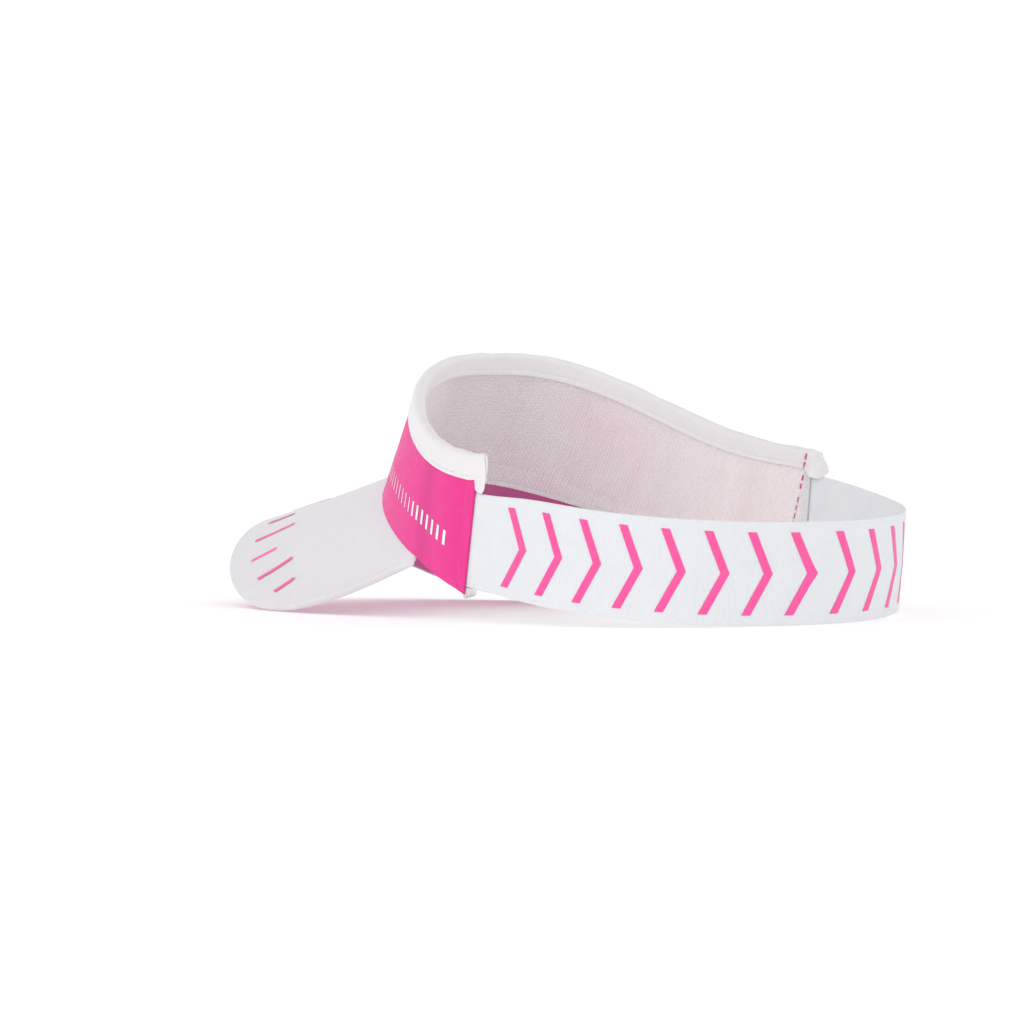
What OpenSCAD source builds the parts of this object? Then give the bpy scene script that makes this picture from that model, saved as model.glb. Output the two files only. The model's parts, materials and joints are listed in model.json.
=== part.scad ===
// Running sun visor: a half-ring front panel with a sewn-on brim, closed by a wide elastic band.
// It is drawn in the head's frame (front toward -Y, the elastic's lower edge at z = 0), and then
// stood on a table, where it rests on the brim's two sides and the back of the elastic.

/* [Head ring] */
// Half width of the ring, left to right
ring_half_w = 78; // [72:1:84]
// Half length of the ring, front to back
ring_half_l = 93.5; // [86:0.5:100]
// How square the ring is, where 2 is an ellipse
ring_square = 2.2; // [2:0.1:2.4]
// How much narrower the ring is at the forehead than behind the ears
ring_egg = 0.23; // [0.1:0.01:0.25]
// Angle from the front to each side seam
seam_angle = 94; // [90:1:98]

/* [Elastic] */
// Width of the elastic
band_w = 35; // [32:1:38]
// Thickness of the elastic
band_t = 1.1; // [0.8:0.1:1.1]
// Lean of the elastic toward the head, in degrees
band_lean = 1; // [0:0.5:2]
// How much the elastic rises at the side seams
band_rise = 1.6; // [0:0.2:3]
// How much the seam gathers the elastic's upper edge
band_pinch = 1.8; // [0:0.2:2]

/* [Front panel] */
// Height of the panel's top edge at the forehead
top_front = 70.2; // [64:0.2:76]
// Height of the panel's top edge at the side seams
top_side = 46.4; // [45:0.2:50]
// Height of the panel's lower edge at the side seams
bottom_side = -1; // [-2:0.5:0]
// Lean of the panel at the forehead, in degrees
lean_front = 28; // [20:1:30]
// Lean of the panel at the side seams, in degrees
lean_side = 1.5; // [0.5:0.5:2]
// Thickness of the panel's fabric
shell_t = 0.5; // [0.4:0.1:0.5]
// Thickness of the sweatband
sweat_t = 1.5; // [1:0.1:2]
// Height of the binding outside
binding_out = 9; // [8:0.5:9]
// Height of the binding inside
binding_in = 8.2; // [7:0.2:9]

/* [Brim] */
// Angle from the front to the brim's corners
brim_angle = 75.5; // [70:0.5:80]
// Height of the brim where it meets the panel's middle
brim_z = 28.8; // [26:0.2:32]
// Droop of the brim toward the front, in degrees
brim_pitch = 20; // [15:1:25]
// Length from the brim's widest line to its front
brim_len = 142; // [130:1:150]
// How square the brim's outline is
brim_square = 2.25; // [2.1:0.05:2.4]
// Arch of the brim: fall per square of the half width, in 1/mm
brim_arch = 0.0103; // [0.009:0.0001:0.011]
// Thickness of the plastic brim board
board_t = 1.4; // [1:0.1:1.8]
// Thickness of the brim's fabric covers
cover_t = 0.5; // [0.4:0.1:0.6]

/* [Hidden] */

PINK = [0.96, 0.33, 0.62];
WHITE = [0.95, 0.95, 0.96];
SATIN = [0.88, 0.87, 0.89];
TERRY = [0.83, 0.78, 0.81];
MAGENTA = [0.74, 0.22, 0.49];
BOARD = [0.30, 0.31, 0.33];
BUCKRAM = [0.80, 0.78, 0.70];

// Fit and layer sizes
ply_gap = 0.1;             // air between two layers of cloth
joint_gap = 0.25;          // air between the panel's lower edge and the brim
lean_z = 39;               // height where the panel's lean pivots
lean_focus = 3;            // how close to the forehead the lean stays
top_power = 1.5;           // shape of the panel's top edge
top_warp = 1.7;
arch_growth = 0.0021;      // how much the arch tightens toward the brim's front, per mm
root_turn = 6;             // distance from the joint over which the layers turn to the arch
root_rise = 46.7;          // how much squarer the brim's arch is at the panel than at the rim
root_square = 3.1;
root_fade = 0.8;           // share of the way to the rim over which that dies away
corner_inset = 0.003;      // share of the half width by which the corners lie inside the outline
rise_reach = 21;           // degrees over which the elastic rises to the seam
pinch_reach = 8;
tuck = 4;                  // degrees of elastic sewn in under the panel's end
tuck_blend = 9;            // degrees over which the elastic comes out from under the panel
panel_face = 0.5;          // the panel's outer face, outside the elastic's outer face
panel_steps = 64;
band_steps = 72;
brim_steps = 44;

shell_in = panel_face - shell_t;
core_out = shell_in - 0.15;            // layer of the stiffener and of the elastic's ends
core_in = core_out - band_t;
sweat_out = core_in - 0.15;
sweat_in = sweat_out - sweat_t;
binding_t = 0.4;
binding_overhang = 2.6;                // degrees by which the binding passes the panel's ends
cloth_top = 2.3;                         // the layers stop this far below the binding's fold
sweat_drop = 5.8;                      // the sweatband hangs below the brim joint
sweat_side = 72;                       // degrees past which it ends level with the panel
overlock_w = 1.4;
thread_t = 0.3;
film_t = 0.15;
film_gap = 0.1;
brim_t = 2 * cover_t + board_t + 2 * ply_gap;

// --- curves and surfaces, all in the head's frame ---

function power(c, p) = sign(c) * pow(abs(c), p);
function mix(p, q, t) = p + (q - p) * t;
function clamp01(t) = max(0, min(1, t));
function smooth(t) = let (c = clamp01(t)) c * c * (3 - 2 * c);
function unit(p) = p / norm(p);

// The ring's line at an angle from the front, toward the wearer's left
function ring(a) = [
    ring_half_w * power(sin(a), 2 / ring_square) * (1 - ring_egg * cos(a)),
    -ring_half_l * power(cos(a), 2 / ring_square)
];
function ring_out(a) = let (d = unit(ring(a + 0.5) - ring(a - 0.5))) [d.y, -d.x];
function at(a, z, off) = let (p = ring(a) + off * ring_out(a)) [p.x, p.y, z];

// The panel's surface: off is the distance outward from the elastic's outer face
function side_share(a) = clamp01(abs(a) / seam_angle);
function lean(a) =
    lean_side + (lean_front - lean_side) * pow(cos(90 * side_share(a)), lean_focus);
function on_panel(a, z, off) = at(a, z, off - (z - lean_z) * tan(lean(a)));
function top_z(a) = top_side + (top_front - top_side)
    * pow((1 + cos(180 * pow(side_share(a), top_warp))) / 2, top_power);

// The brim's upper surface
function brim_fwd(p) = -ring_half_l - p.y;
function brim_height(p) = brim_z - tan(brim_pitch) * brim_fwd(p)
    - brim_arch * p.x * p.x * (1 + arch_growth * brim_fwd(p));
function brim_up(p) = unit([
    2 * brim_arch * p.x * (1 + arch_growth * brim_fwd(p)),
    -tan(brim_pitch) - brim_arch * arch_growth * p.x * p.x,
    1
]);

// The panel's lower edge follows the brim, whose arch is squarer there, and runs straight from
// the brim's corner to the side seam
function arch_z(a, z, n) = n == 0 ? z : arch_z(a, brim_height(on_panel(a, z, 0)), n - 1);
corner_z = arch_z(brim_angle, 0, 6);
corner_x = on_panel(brim_angle, corner_z, 0).x;
function joint_z(a) = let (
        z = arch_z(a, brim_z, 6),
        r = min(abs(on_panel(a, z, 0).x) / corner_x, 1)
    )
    z + root_rise * (r * r - pow(r, root_square));
function bottom_z(a) = abs(a) < brim_angle ? joint_z(a)
    : mix(corner_z, bottom_side, (abs(a) - brim_angle) / (seam_angle - brim_angle));

// The brim's plan: its inner edge lies along the panel, its outline is a superellipse
function brim_root(a) = let (p = on_panel(a, bottom_z(a), 0)) [p.x, p.y];
corner = brim_root(brim_angle - 0.01);
brim_half_w = corner.x * (1 + corner_inset);
corner_turn = 180 - asin(pow(corner.x / brim_half_w, brim_square / 2));
brim_wide_y = corner.y + brim_len * power(cos(corner_turn), 2 / brim_square);
function brim_rim(s) = let (t = corner_turn * s) [
    brim_half_w * power(sin(t), 2 / brim_square),
    brim_wide_y - brim_len * power(cos(t), 2 / brim_square)
];
// s from -1 to 1 goes round the brim, v from 0 to 1 goes from the panel to the rim, and down is
// the depth below the upper surface. The root follows the panel's slope, so that the layers
// stay outside the sweatband, and the depth turns to the surface's own normal over root_turn.
function on_brim(s, v, down) =
    let (
        a = brim_angle * 0.999 * s,
        root = brim_root(a),
        p = mix(root, brim_rim(s), v),
        z = bottom_z(a),
        at_root = on_panel(a, z - down, 0) - on_panel(a, z, 0),
        lift = (z - brim_height(root)) * (1 - smooth(v / root_fade))
    )
    [p.x, p.y, brim_height(p) + lift]
        + mix(at_root, -down * brim_up(p), smooth(norm(p - root) / root_turn));
function rim_out(s) =
    unit(cross(on_brim(s + 0.01, 1, 0) - on_brim(s - 0.01, 1, 0), brim_up(brim_rim(s))));
function on_rim(s, down, out) = on_brim(s, 1, down) + out * rim_out(s);

// The elastic: it leans in a little, rises to the seams, and slips in under the panel's ends
function past_seam(a) = 180 - abs(180 - a) - seam_angle;
function bell(d, reach) = exp(-pow(max(d, 0) / reach, 2));
function on_band(a, h, depth) =
    let (
        d = past_seam(a),
        z = h + band_rise * bell(d, rise_reach)
            - band_pinch * bell(d, pinch_reach) * h / band_w,
        b = a > 180 ? a - 360 : a
    )
    mix(on_panel(b, z, core_out - depth), at(b, z, -h * tan(band_lean) - depth),
        smooth(d / tuck_blend));

// --- standing on the table ---

edge_t = ply_gap + cover_t;             // the rim's folded cover, outside the board's edge
edge_reach = 0.94;                      // share of the brim's outline that the fold covers
function rim_line(down) = [for (i = [-40:40]) on_rim(edge_reach * i / 40, down, edge_t)];
rim_low = rim_line(brim_t);
function tilted(p, t) = [p.x, p.y * cos(t) + p.z * sin(t), p.z * cos(t) - p.y * sin(t)];
function lowest(points, t) = min([for (p = points) tilted(p, t).z]);
function lowest_point(points, t) =
    [for (p = points) if (tilted(p, t).z == lowest(points, t)) p][0];
band_rear = on_band(180, 0, 0);
function settle(t, n) = n == 0 ? t :
    let (p = lowest_point(rim_low, t))
    settle(atan2(band_rear.z - p.z, band_rear.y - p.y), n - 1);
stand_tilt = settle(0, 4);
stand_lift = -min(lowest(rim_low, stand_tilt), tilted(band_rear, stand_tilt).z);
front_y = min([for (p = concat(rim_low, rim_line(0))) tilted(p, stand_tilt).y]);
rear_y = max([for (h = [0, band_w]) tilted(on_band(180, h, 0), stand_tilt).y]);
module stand() {
    translate([0, -(front_y + rear_y) / 2, stand_lift]) rotate([-stand_tilt, 0, 0]) children();
}

// --- builders ---

// A closed sheet: place(u, v, w) gives its points, with w = 0 on one face and w = 1 on the other
module sheet(place, nu, nv) {
    row = nv + 1;
    face = (nu + 1) * row;
    function id(w, i, j) = w * face + i * row + j;
    function two(a, b, c, d) = [[a, b, c], [a, c, d]];
    points = [for (w = [0, 1], i = [0:nu], j = [0:nv]) place(i / nu, j / nv, w)];
    faces = [
        for (i = [0:nu - 1], j = [0:nv - 1], t = concat(
            two(id(0, i, j), id(0, i + 1, j), id(0, i + 1, j + 1), id(0, i, j + 1)),
            two(id(1, i, j), id(1, i, j + 1), id(1, i + 1, j + 1), id(1, i + 1, j))
        )) t,
        for (i = [0:nu - 1], t = concat(
            two(id(0, i, 0), id(1, i, 0), id(1, i + 1, 0), id(0, i + 1, 0)),
            two(id(0, i, nv), id(0, i + 1, nv), id(1, i + 1, nv), id(1, i, nv))
        )) t,
        for (j = [0:nv - 1], t = concat(
            two(id(0, 0, j), id(0, 0, j + 1), id(1, 0, j + 1), id(1, 0, j)),
            two(id(0, nu, j), id(1, nu, j), id(1, nu, j + 1), id(0, nu, j + 1))
        )) t
    ];
    polyhedron(points, faces, convexity = 6);
}

// A layer of the panel between two offsets, from angle a0 to a1, with its own edges
module panel_layer(out, in, a0, a1, low, high, nu, nv) {
    sheet(function(u, v, w) let (a = mix(a0, a1, u))
        on_panel(a, mix(low(a), high(a), v), mix(in, out, w)), nu, nv);
}

// One stitch: a short bar of thread that lies on a surface from p to q
module stitch(p, q) {
    d = unit(q - p);
    side = unit(cross([0, 0, 1], d));
    up = cross(d, side);
    l = norm(q - p);
    multmatrix([
        [d.x, side.x, up.x, p.x],
        [d.y, side.y, up.y, p.y],
        [d.z, side.z, up.z, p.z]
    ]) translate([0, -thread_t / 2, -thread_t / 2]) cube([l, thread_t, thread_t]);
}

// A printed mark w wide: a bar where bend is 0, and otherwise a chevron
module mark(place, s, w, bend, h0, h1) {
    steps = bend == 0 ? 1 : 4;
    sheet(function(u, v, t)
        place(s + (u - 0.5) * w + bend * (1 - abs(2 * v - 1)), mix(h0, h1, v),
            film_gap + film_t * t), 1, steps);
}

// --- sub-parts ---

module front_panel() {
    color(PINK) panel_layer(panel_face, shell_in, -seam_angle, seam_angle,
        function(a) bottom_z(a) + joint_gap, function(a) top_z(a) - cloth_top, panel_steps, 5);
}

allowance_h = 6;
module panel_stiffener() {
    reach = seam_angle - tuck - 4;
    color(BUCKRAM) panel_layer(core_out, core_in, -reach, reach,
        function(a) bottom_z(a) + allowance_h + ply_gap, function(a) top_z(a) - cloth_top,
        panel_steps, 4);
}

module brim_seam_allowance() {
    color(SATIN) panel_layer(core_out, core_out - 2 * cover_t, -brim_angle, brim_angle,
        function(a) bottom_z(a) + ply_gap, function(a) bottom_z(a) + allowance_h,
        panel_steps, 1);
}

function sweat_low(a) = bottom_z(a) - sweat_drop * smooth((sweat_side - abs(a)) / 16);
module sweatband() {
    reach = seam_angle - 1;
    color(TERRY) panel_layer(sweat_out, sweat_in, -reach, reach,
        function(a) sweat_low(a) + overlock_w + ply_gap, function(a) top_z(a) - cloth_top,
        panel_steps, 5);
}

module sweatband_overlock() {
    reach = seam_angle - 1;
    end = 0.9;
    color(WHITE) {
        panel_layer(sweat_out, sweat_in, -reach, reach,
            function(a) sweat_low(a), function(a) sweat_low(a) + overlock_w, panel_steps, 1);
        for (s = [-1, 1])
            panel_layer(sweat_out, sweat_in, s > 0 ? reach + 0.1 : -reach - end,
                s > 0 ? reach + end : -reach - 0.1,
                function(a) sweat_low(reach), function(a) top_side - cloth_top, 1, 4);
    }
}

// The binding's fold, as [offset, height below the top edge] pairs from outside to inside
fold_out = panel_face + ply_gap + binding_t;
fold_in = sweat_in - ply_gap - binding_t;
fold_mid = (fold_out + fold_in) / 2;
fold_half = (fold_out - fold_in) / 2;
function fold(v, w) =
    let (
        r = fold_half - binding_t * (1 - w),
        arc = 180 * clamp01((v - 0.25) / 0.5),
        leg = v < 0.25 ? mix(binding_out, fold_half, v / 0.25)
            : v > 0.75 ? mix(fold_half, binding_in, (v - 0.75) / 0.25) : fold_half
    )
    [fold_mid + r * cos(arc), -leg + r * sin(arc)];
module top_binding() {
    reach = seam_angle + binding_overhang;
    color(WHITE) sheet(function(u, v, w)
        let (a = mix(-reach, reach, u), f = fold(v, w)) on_panel(a, top_z(a) + f[1], f[0]),
        panel_steps, 12);
}

module binding_stitch() {
    n = 84;
    z = 1.4 - binding_out;
    color(WHITE) for (i = [0:n - 1]) let (
            a0 = mix(-seam_angle, seam_angle, (i + 0.15) / n),
            a1 = mix(-seam_angle, seam_angle, (i + 0.75) / n)
        )
        stitch(on_panel(a0, top_z(a0) + z, fold_out + thread_t),
            on_panel(a1, top_z(a1) + z, fold_out + thread_t));
}

module brim_layer(down0, down1, edge) {
    sheet(function(u, v, w) on_brim(2 * u - 1, mix(0, edge, v), mix(down1, down0, w)),
        brim_steps, 9);
}
board_edge = 0.985;
module brim_top_cover() {
    color(SATIN) brim_layer(0, cover_t, 1);
}
module brim_board() {
    color(BOARD) brim_layer(cover_t + ply_gap, cover_t + ply_gap + board_t, board_edge);
}
module brim_under_cover() {
    color(MAGENTA) brim_layer(brim_t - cover_t, brim_t, 1);
}

// The covers are folded and sewn round the board's edge
module brim_edge_seam() {
    color(SATIN) sheet(function(u, v, w)
        on_rim((2 * u - 1) * edge_reach, brim_t * (1 - v), ply_gap + cover_t * w), 60, 1);
}

module brim_joint_stitch() {
    n = 62;
    color(PINK) for (i = [0:n - 1]) let (
            a0 = mix(-seam_angle, seam_angle, (i + 0.3) / n),
            a1 = mix(-seam_angle, seam_angle, (i + 0.85) / n)
        )
        stitch(on_panel(a0, bottom_z(a0) + 2, panel_face + thread_t),
            on_panel(a1, bottom_z(a1) + 2, panel_face + thread_t));
}

module seam_stitch(side) {
    n = 11;
    a = side * (seam_angle - 2.6);
    color(PINK) for (i = [0:n - 1]) let (z = mix(3, top_side - binding_out - 2, i / n))
        stitch(on_panel(a, z, panel_face + thread_t),
            on_panel(a + 0.05, z + 2.2, panel_face + thread_t));
}
module left_seam_stitch() { seam_stitch(1); }
module right_seam_stitch() { seam_stitch(-1); }

// The overlocked end of the side seam, trimmed below the elastic
module seam_overlock(side) {
    a = side * seam_angle;
    color(WHITE) panel_layer(core_out, core_in, a - 2.4, a + 2.4,
        function(a) bottom_side - 2.4, function(a) band_rise - 0.3, 2, 2);
}
module left_seam_overlock() { seam_overlock(1); }
module right_seam_overlock() { seam_overlock(-1); }

// Places for the printed marks: s is an angle on the panel and the elastic, and the share of
// the way round on the brim
panel_ink = function(s, h, t) on_panel(s, bottom_z(s) + h, panel_face + t);
brim_ink = function(s, h, t) on_brim(s, h, -t);
band_ink = function(s, h, t) on_band(s, h, -t);

marks_bold = 69;                       // degrees past which the panel's marks are bold
module panel_print() {
    n = 68;
    step = 2.6;
    color(WHITE) for (i = [0:n - 1]) let (s = (i - (n - 1) / 2) * step)
        mark(panel_ink, s, abs(s) > marks_bold ? 0.9 : 0.45, 0, 12, 17);
}

module brim_print() {
    n = 12;
    color(PINK) for (i = [0:n - 1]) let (s = mix(-0.62, 0.62, i / (n - 1)))
        mark(brim_ink, s, 0.014, 0, i % 2 == 0 ? 0.62 : 0.7, 0.86);
}

module band_print() {
    n = 16;
    first = seam_angle + 6;
    span = 360 - 2 * first;
    color(PINK) for (i = [0:n - 1]) let (s = first + span * (i + 0.5) / n)
        mark(band_ink, s, 2.1, 4.5, 3.5, 31.5);
}

module elastic_band() {
    first = seam_angle - tuck;
    color(WHITE) sheet(function(u, v, w)
        on_band(mix(first, 360 - first, u), band_w * v, band_t * (1 - w)), band_steps, 3);
}

stand() front_panel();
stand() panel_stiffener();
stand() sweatband();
stand() sweatband_overlock();
stand() top_binding();
stand() binding_stitch();
stand() brim_board();
stand() brim_top_cover();
stand() brim_under_cover();
stand() brim_edge_seam();
stand() brim_seam_allowance();
stand() brim_joint_stitch();
stand() left_seam_stitch();
stand() right_seam_stitch();
stand() left_seam_overlock();
stand() right_seam_overlock();
stand() panel_print();
stand() brim_print();
stand() elastic_band();
stand() band_print();
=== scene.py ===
"""The looks of a running sun visor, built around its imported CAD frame.

Everything is drawn in millimetres in the head's frame, as in the CAD source: the front is toward
-Y and the elastic's lower edge is at z = 0. stand() then sets it on the table, in metres.
"""
import json
import math

import bmesh
import bpy
import numpy as np
from mathutils import Matrix, Vector


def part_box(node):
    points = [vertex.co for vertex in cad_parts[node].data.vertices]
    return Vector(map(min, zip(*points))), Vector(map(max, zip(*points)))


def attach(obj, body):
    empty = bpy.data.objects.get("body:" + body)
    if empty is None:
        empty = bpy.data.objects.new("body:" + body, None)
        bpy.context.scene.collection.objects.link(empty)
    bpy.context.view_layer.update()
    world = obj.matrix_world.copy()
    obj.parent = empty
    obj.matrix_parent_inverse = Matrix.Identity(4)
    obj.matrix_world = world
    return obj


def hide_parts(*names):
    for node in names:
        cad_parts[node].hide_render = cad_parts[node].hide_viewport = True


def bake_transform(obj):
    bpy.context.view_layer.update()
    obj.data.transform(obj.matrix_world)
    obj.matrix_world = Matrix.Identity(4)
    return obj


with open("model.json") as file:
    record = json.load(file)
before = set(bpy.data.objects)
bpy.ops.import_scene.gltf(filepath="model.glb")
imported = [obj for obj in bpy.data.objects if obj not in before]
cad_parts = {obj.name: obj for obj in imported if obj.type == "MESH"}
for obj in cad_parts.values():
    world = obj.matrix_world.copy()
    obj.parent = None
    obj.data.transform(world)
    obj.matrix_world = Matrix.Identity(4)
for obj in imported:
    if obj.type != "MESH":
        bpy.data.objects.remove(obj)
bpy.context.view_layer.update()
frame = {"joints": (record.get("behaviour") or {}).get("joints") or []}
MM = 0.001

# --- sizes, in millimetres and degrees, as in the CAD source ---

RING_HALF_W = 78
RING_HALF_L = 93.5
RING_SQUARE = 2.2
RING_EGG = 0.23
SEAM = 94

BAND_W = 35
BAND_T = 1.1
BAND_LEAN = 1
BAND_RISE = 1.6
BAND_PINCH = 3  # how far the seam pulls the elastic's upper edge down, on the left
BAND_PINCH_RIGHT = -0.95
RISE_REACH = 21
PINCH_REACH = 13
TUCK = 4
TUCK_BLEND = 9

TOP_FRONT = 70.2
TOP_SIDE = 46.4
TOP_POWER = 1.5
TOP_WARP = 1.7
BOTTOM_SIDE = -1
LEAN_FRONT = 28
LEAN_SIDE = 1.5
LEAN_Z = 39
LEAN_FOCUS = 3

BRIM_ANGLE = 75.5
BRIM_Z = 28.8
BRIM_PITCH = 20
BRIM_LEN = 142
BRIM_SQUARE = 2.25
BRIM_ARCH = 0.0103
ARCH_GROWTH = 0.0021
ROOT_TURN = 6
ROOT_RISE = 46.7
ROOT_SQUARE = 3.1
ROOT_FADE = 0.8
CORNER_INSET = 0.003
BRIM_T = 2.6
EDGE_T = 0.6

# Distances outward from the elastic's outer face
PANEL_FACE = 0.5
PANEL_BACK = 0.0
CORE_OUT = -0.15
CORE_IN = -1.25
SWEAT_OUT = -1.4
SWEAT_IN = -2.9
BINDING_T = 0.4
FOLD_OUT = 1.0
FOLD_IN = -3.4

BINDING_OUT = 9
BINDING_IN = 8.2
CLOTH_TOP = 2.3
SWEAT_DROP = 5.8
SWEAT_EASE = 2  # how much less it hangs beside the temples
SWEAT_SIDE = 72  # degrees past which the sweatband ends level with the panel
ALLOWANCE_H = 6
STITCH_LINE = 2  # the brim joint's stitch, above the panel's lower edge
SEAM_STITCH = 2.6  # the side seam's stitch, in degrees from the panel's end
SEAM_STITCH_IN = 1.4  # and inside, below the binding
STITCH_SKEW = 0.07  # degrees further from it for each millimetre down
FILM_T = 0.12

rng = np.random.default_rng(7)

# --- curves and surfaces, in millimetres, on arrays of angles and heights ---


def sind(a):
    return np.sin(np.radians(a))


def cosd(a):
    return np.cos(np.radians(a))


def tand(a):
    return np.tan(np.radians(a))


def power(c, p):
    return np.sign(c) * np.abs(c) ** p


def mix(p, q, t):
    return p + (q - p) * t


def smooth(t):
    c = np.clip(t, 0, 1)
    return c * c * (3 - 2 * c)


def hill(d, reach):
    """1 where d is 0, falling away to both sides."""
    return np.exp(-((d / reach) ** 2))


def unit(p):
    return p / np.linalg.norm(p, axis=-1, keepdims=True)


def waves(x, y, size, seed, count=7):
    """Soft irregular waves about size long, from -1 to 1."""
    source = np.random.default_rng(seed)
    total = 0
    for turn, phase, stretch in source.random((count, 3)):
        length = size * mix(0.7, 1.5, stretch)
        path = x * math.cos(math.pi * turn) + y * math.sin(math.pi * turn)
        total = total + np.sin(2 * math.pi * (path / length + phase))
    return total / count ** 0.5 / 1.4


def toward(azimuth, elevation):
    """The direction from which a camera or light at those angles looks."""
    a, e = math.radians(azimuth), math.radians(elevation)
    return Vector((math.sin(a) * math.cos(e), -math.cos(a) * math.cos(e), math.sin(e)))


def added(name, data):
    thing = bpy.data.objects.new(name, data)
    bpy.context.scene.collection.objects.link(thing)
    return thing


def ring(a):
    x = RING_HALF_W * power(sind(a), 2 / RING_SQUARE) * (1 - RING_EGG * cosd(a))
    return np.stack([x, -RING_HALF_L * power(cosd(a), 2 / RING_SQUARE)], -1)


def ring_out(a):
    d = unit(ring(a + 0.5) - ring(a - 0.5))
    return np.stack([d[..., 1], -d[..., 0]], -1)


def at(a, z, off):
    a, z, off = np.broadcast_arrays(a, z, off)
    p = ring(a) + off[..., None] * ring_out(a)
    return np.concatenate([p, z[..., None]], -1)


def side_share(a):
    return np.clip(np.abs(a) / SEAM, 0, 1)


def lean(a):
    return LEAN_SIDE + (LEAN_FRONT - LEAN_SIDE) * cosd(90 * side_share(a)) ** LEAN_FOCUS


def on_panel(a, z, off):
    """The panel's surface, off outward from the elastic's outer face."""
    return at(a, z, off - (z - LEAN_Z) * tand(lean(a)))


def top_z(a):
    fall = (1 + cosd(180 * side_share(a) ** TOP_WARP)) / 2
    return TOP_SIDE + (TOP_FRONT - TOP_SIDE) * fall ** TOP_POWER


def brim_fwd(p):
    return -RING_HALF_L - p[..., 1]


def brim_height(p):
    arch = BRIM_ARCH * p[..., 0] ** 2 * (1 + ARCH_GROWTH * brim_fwd(p))
    return BRIM_Z - tand(BRIM_PITCH) * brim_fwd(p) - arch


def brim_up(p):
    x = 2 * BRIM_ARCH * p[..., 0] * (1 + ARCH_GROWTH * brim_fwd(p))
    y = -tand(BRIM_PITCH) - BRIM_ARCH * ARCH_GROWTH * p[..., 0] ** 2
    return unit(np.stack([x, y, np.ones_like(x)], -1))


def plain_joint_z(a):
    """The height at which the panel would meet the brim's arch."""
    z = np.full(np.shape(a), BRIM_Z)
    for _ in range(6):
        z = brim_height(on_panel(a, z, 0))
    return z


CORNER_Z = float(plain_joint_z(BRIM_ANGLE))
CORNER_X = float(on_panel(BRIM_ANGLE, CORNER_Z, 0)[0])


def joint_z(a):
    """The height at which the panel meets the brim, whose arch is squarer there."""
    z = plain_joint_z(a)
    r = np.minimum(np.abs(on_panel(a, z, 0)[..., 0]) / CORNER_X, 1)
    return z + ROOT_RISE * (r ** 2 - r ** ROOT_SQUARE)


def bottom_z(a):
    past = (np.abs(a) - BRIM_ANGLE) / (SEAM - BRIM_ANGLE)
    return np.where(np.abs(a) < BRIM_ANGLE, joint_z(a), mix(CORNER_Z, BOTTOM_SIDE, past))


def brim_root(a):
    return on_panel(a, bottom_z(a), 0)[..., :2]


corner = brim_root(BRIM_ANGLE - 0.01)
BRIM_HALF_W = corner[0] * (1 + CORNER_INSET)
CORNER_TURN = 180 - math.degrees(math.asin((corner[0] / BRIM_HALF_W) ** (BRIM_SQUARE / 2)))
BRIM_WIDE_Y = corner[1] + BRIM_LEN * power(cosd(CORNER_TURN), 2 / BRIM_SQUARE)


def brim_rim(s):
    t = CORNER_TURN * s
    x = BRIM_HALF_W * power(sind(t), 2 / BRIM_SQUARE)
    return np.stack([x, BRIM_WIDE_Y - BRIM_LEN * power(cosd(t), 2 / BRIM_SQUARE)], -1)


def on_brim(s, v, down):
    """The brim: s goes round it, v from the panel to the rim, down is the depth below its top."""
    s, v, down = (x[..., None] for x in np.broadcast_arrays(s, v, down))
    a = BRIM_ANGLE * 0.999 * s[..., 0]
    root = brim_root(a)
    p = mix(root, brim_rim(s[..., 0]), v)
    z = bottom_z(a)
    at_root = on_panel(a, z - down[..., 0], 0) - on_panel(a, z, 0)
    turn = smooth(np.linalg.norm(p - root, axis=-1, keepdims=True) / ROOT_TURN)
    lift = (z - brim_height(root)) * (1 - smooth(v[..., 0] / ROOT_FADE))
    top = np.concatenate([p, (brim_height(p) + lift)[..., None]], -1)
    return top + mix(at_root, -down * brim_up(p), turn)


def rim_out(s):
    ahead = on_brim(s + 0.01, 1, 0) - on_brim(s - 0.01, 1, 0)
    return unit(np.cross(ahead, brim_up(brim_rim(s))))


def on_rim(s, down, out):
    """The brim's rounded edge: out is the distance beyond the outline."""
    return on_brim(s, 1, down) + out[..., None] * rim_out(s)


def on_band(a, h, depth):
    """The elastic, depth inward from its outer face, for angles from seam to seam by the back."""
    a, h, depth = np.broadcast_arrays(a, h, depth)
    d = 180 - np.abs(180 - a) - SEAM
    past = np.maximum(d, 0)
    pinch = np.where(a > 180, BAND_PINCH_RIGHT, BAND_PINCH) * hill(past, PINCH_REACH)
    z = h + BAND_RISE * hill(past, RISE_REACH) - pinch * h / BAND_W
    b = np.where(a > 180, a - 360, a)
    tucked = on_panel(b, z, CORE_OUT - depth)
    free = at(b, z, -h * tand(BAND_LEAN) - depth)
    return mix(tucked, free, smooth(d / TUCK_BLEND)[..., None])


def sweat_low(a):
    drop = SWEAT_DROP - SWEAT_EASE * smooth((np.abs(a) - 22) / 32)
    return bottom_z(a) - drop * smooth((SWEAT_SIDE - np.abs(a)) / 16)


# Distance round the ring, in millimetres from the front, at every quarter degree
RING_ANGLES = np.arange(-270, 270.1, 0.25)
ring_steps = np.linalg.norm(np.diff(ring(RING_ANGLES), axis=0), axis=1)
RING_RUN = np.concatenate([[0], np.cumsum(ring_steps)])
RING_RUN -= np.interp(0, RING_ANGLES, RING_RUN)


def run_at(a):
    return np.interp(a, RING_ANGLES, RING_RUN)


def angle_at(run):
    return np.interp(run, RING_RUN, RING_ANGLES)


# --- the stance on the table, from the frame ---

back_axis = frame["joints"][0]["axis"]
TILT = math.atan2(-back_axis[2], back_axis[1])


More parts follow.
